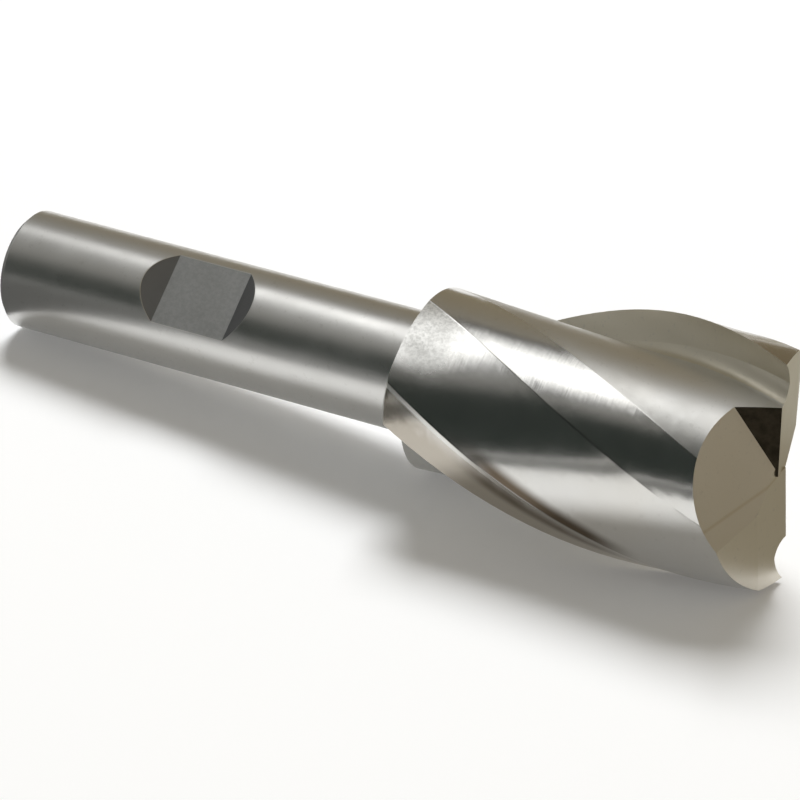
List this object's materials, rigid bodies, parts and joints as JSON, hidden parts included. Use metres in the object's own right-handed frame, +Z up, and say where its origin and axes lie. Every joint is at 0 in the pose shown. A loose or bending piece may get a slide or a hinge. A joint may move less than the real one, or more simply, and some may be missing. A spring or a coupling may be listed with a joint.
{
  "type": "square end mill",
  "caption": "Centre-cutting square end mill ground from one bar, with a large right-hand helical head and a slim straight shank that has a clamping flat.",
  "frame": {"origin": "middle of the resting tool's box, on the surface it lies on", "axes": "+X along the tool from the shank end towards the cutting end as seen from above, +Z up, +Y to its left"},
  "size_m": [0.0892, 0.0254, 0.0255],
  "materials": {
    "ground_steel": "ground high-speed steel, bright, with fine grinding lines"
  },
  "bodies": {
    "root": {"end_mill": "ground_steel"}
  },
  "joints": []
}
